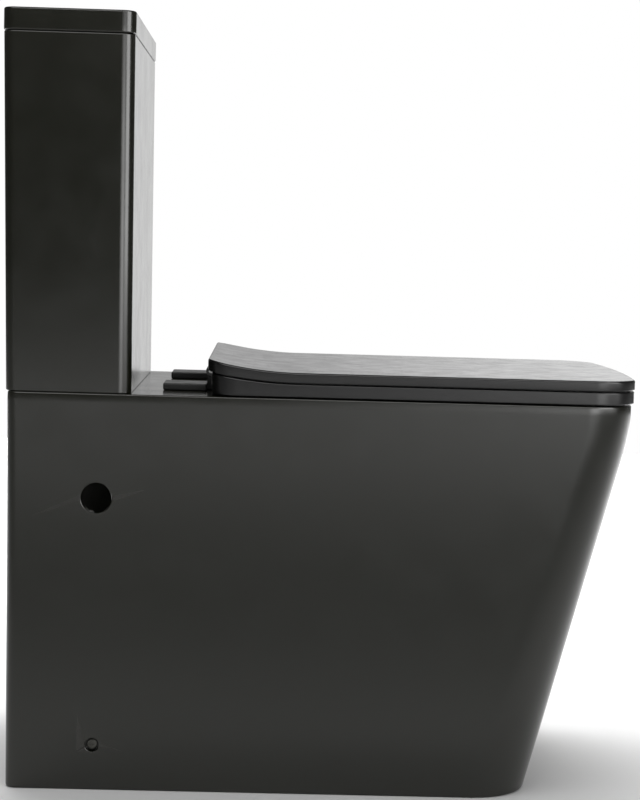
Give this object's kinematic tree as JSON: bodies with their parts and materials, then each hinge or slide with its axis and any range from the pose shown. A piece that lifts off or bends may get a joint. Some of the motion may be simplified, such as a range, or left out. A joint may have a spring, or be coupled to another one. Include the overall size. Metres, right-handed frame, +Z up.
{
  "type": "close coupled toilet",
  "caption": "Square back-to-wall close coupled toilet in satin black: pan, cistern with lift-off lid and push-button dual flush, slim hinged seat and lid.",
  "frame": {"origin": "on the floor, at the middle of the toilet's plan (its bounding box)", "axes": "+Z up, -Y towards the front of the pan, +X towards the right of somebody who faces the cistern"},
  "size_m": [0.365, 0.69, 0.8356],
  "materials": {
    "ceramic": "satin black glaze",
    "seat_plastic": "satin black thermoset",
    "black_plastic": "satin black",
    "white_plastic": "natural white acetal",
    "blue_plastic": "blue polypropylene",
    "red_plastic": "red acetal",
    "rubber": "black nitrile",
    "steel": "stainless",
    "brass": "plain brass"
  },
  "bodies": {
    "base": {"pan": "ceramic", "cistern_tank": "ceramic", "flush_valve_base": "white_plastic", "flush_valve_tower": "blue_plastic", "flush_valve_washer": "rubber", "flush_valve_nut": "white_plastic", "full_lever_pin": "steel", "half_lever_pin": "steel", "fill_valve": "white_plastic", "fill_valve_washer": "rubber", "fill_valve_nut": "white_plastic", "fill_arm_pin": "steel", "coupling_gasket": "rubber", "coupling_bolt_left": "brass", "coupling_bolt_right": "brass", "coupling_washer_left": "rubber", "coupling_washer_right": "rubber", "coupling_plate_left": "steel", "coupling_plate_right": "steel", "coupling_nut_left": "brass", "coupling_nut_right": "brass", "hinge_block_left": "black_plastic", "hinge_block_right": "black_plastic", "hinge_pin_left": "steel", "hinge_pin_right": "steel", "seat_bolt_left": "steel", "seat_bolt_right": "steel", "seat_nut_left": "white_plastic", "seat_nut_right": "white_plastic", "floor_bracket_left": "white_plastic", "floor_bracket_right": "white_plastic", "side_screw_left": "steel", "side_screw_right": "steel"},
    "cistern_lid": {"cistern_lid": "ceramic", "button_bezel": "black_plastic", "button_lock_nut": "white_plastic"},
    "full_flush": {"full_flush_button": "black_plastic", "full_flush_rod": "white_plastic", "full_button_spring": "steel"},
    "half_flush": {"half_flush_button": "black_plastic", "half_flush_rod": "white_plastic", "half_button_spring": "steel"},
    "full_lever": {"full_flush_lever": "white_plastic"},
    "half_lever": {"half_flush_lever": "red_plastic"},
    "flush_tube": {"overflow_tube": "white_plastic", "flush_seal": "rubber"},
    "half_float": {"half_flush_float": "red_plastic"},
    "fill_float": {"fill_float": "blue_plastic"},
    "fill_arm": {"fill_arm": "red_plastic"},
    "seat_ring": {"seat_ring": "seat_plastic", "ring_bumper_front_left": "rubber", "ring_bumper_front_right": "rubber", "ring_bumper_rear_left": "rubber", "ring_bumper_rear_right": "rubber"},
    "seat_lid": {"seat_lid": "seat_plastic", "lid_bumper_left": "rubber", "lid_bumper_right": "rubber"}
  },
  "joints": [
    {"name": "cistern_lid_lift", "type": "slide", "parent": "base", "child": "cistern_lid", "axis": [0, 0, 1], "range_m": [0, 0.12]},
    {"name": "full_flush_press", "type": "slide", "parent": "cistern_lid", "child": "full_flush", "axis": [0, 0, -1], "range_m": [0, 0.005], "stiffness_N_per_m": 500, "springref_m": -0.004, "deforming": ["full_button_spring"]},
    {"name": "half_flush_press", "type": "slide", "parent": "cistern_lid", "child": "half_flush", "axis": [0, 0, -1], "range_m": [0, 0.005], "stiffness_N_per_m": 500, "springref_m": -0.004, "deforming": ["half_button_spring"]},
    {"name": "full_lever_rock", "type": "hinge", "parent": "base", "child": "full_lever", "pos_m": [-0.019, 0.286, 0.694], "axis": [1, 0, 0], "range_deg": [0, 24]},
    {"name": "half_lever_rock", "type": "hinge", "parent": "base", "child": "half_lever", "pos_m": [0.019, 0.262, 0.694], "axis": [-1, 0, 0], "range_deg": [0, 24]},
    {"name": "flush_tube_lift", "type": "slide", "parent": "base", "child": "flush_tube", "axis": [0, 0, 1], "range_m": [0, 0.0076]},
    {"name": "half_float_lift", "type": "slide", "parent": "base", "child": "half_float", "axis": [0, 0, 1], "range_m": [0, 0.0076]},
    {"name": "fill_float_rise", "type": "slide", "parent": "base", "child": "fill_float", "axis": [0, 0, 1], "range_m": [0, 0.02]},
    {"name": "fill_arm_swing", "type": "hinge", "parent": "base", "child": "fill_arm", "pos_m": [0.15, 0.274, 0.712], "axis": [0, 1, 0], "range_deg": [0, 25.6]},
    {"name": "seat_ring_hinge", "type": "hinge", "parent": "base", "child": "seat_ring", "pos_m": [0, 0.121, 0.452], "axis": [-1, 0, 0], "range_deg": [0, 97]},
    {"name": "seat_lid_hinge", "type": "hinge", "parent": "seat_ring", "child": "seat_lid", "pos_m": [0, 0.121, 0.452], "axis": [1, 0, 0], "range_deg": [-98, 0]}
  ],
  "couplings": [
    {"joint": "full_lever_rock", "follows": "full_flush_press", "rad_per_m": 83.333},
    {"joint": "flush_tube_lift", "follows": "full_flush_press", "ratio": 1.5},
    {"joint": "half_lever_rock", "follows": "half_flush_press", "rad_per_m": 83.333},
    {"joint": "half_float_lift", "follows": "half_flush_press", "ratio": 1.5},
    {"joint": "fill_arm_swing", "follows": "fill_float_rise", "rad_per_m": 22.222}
  ]
}
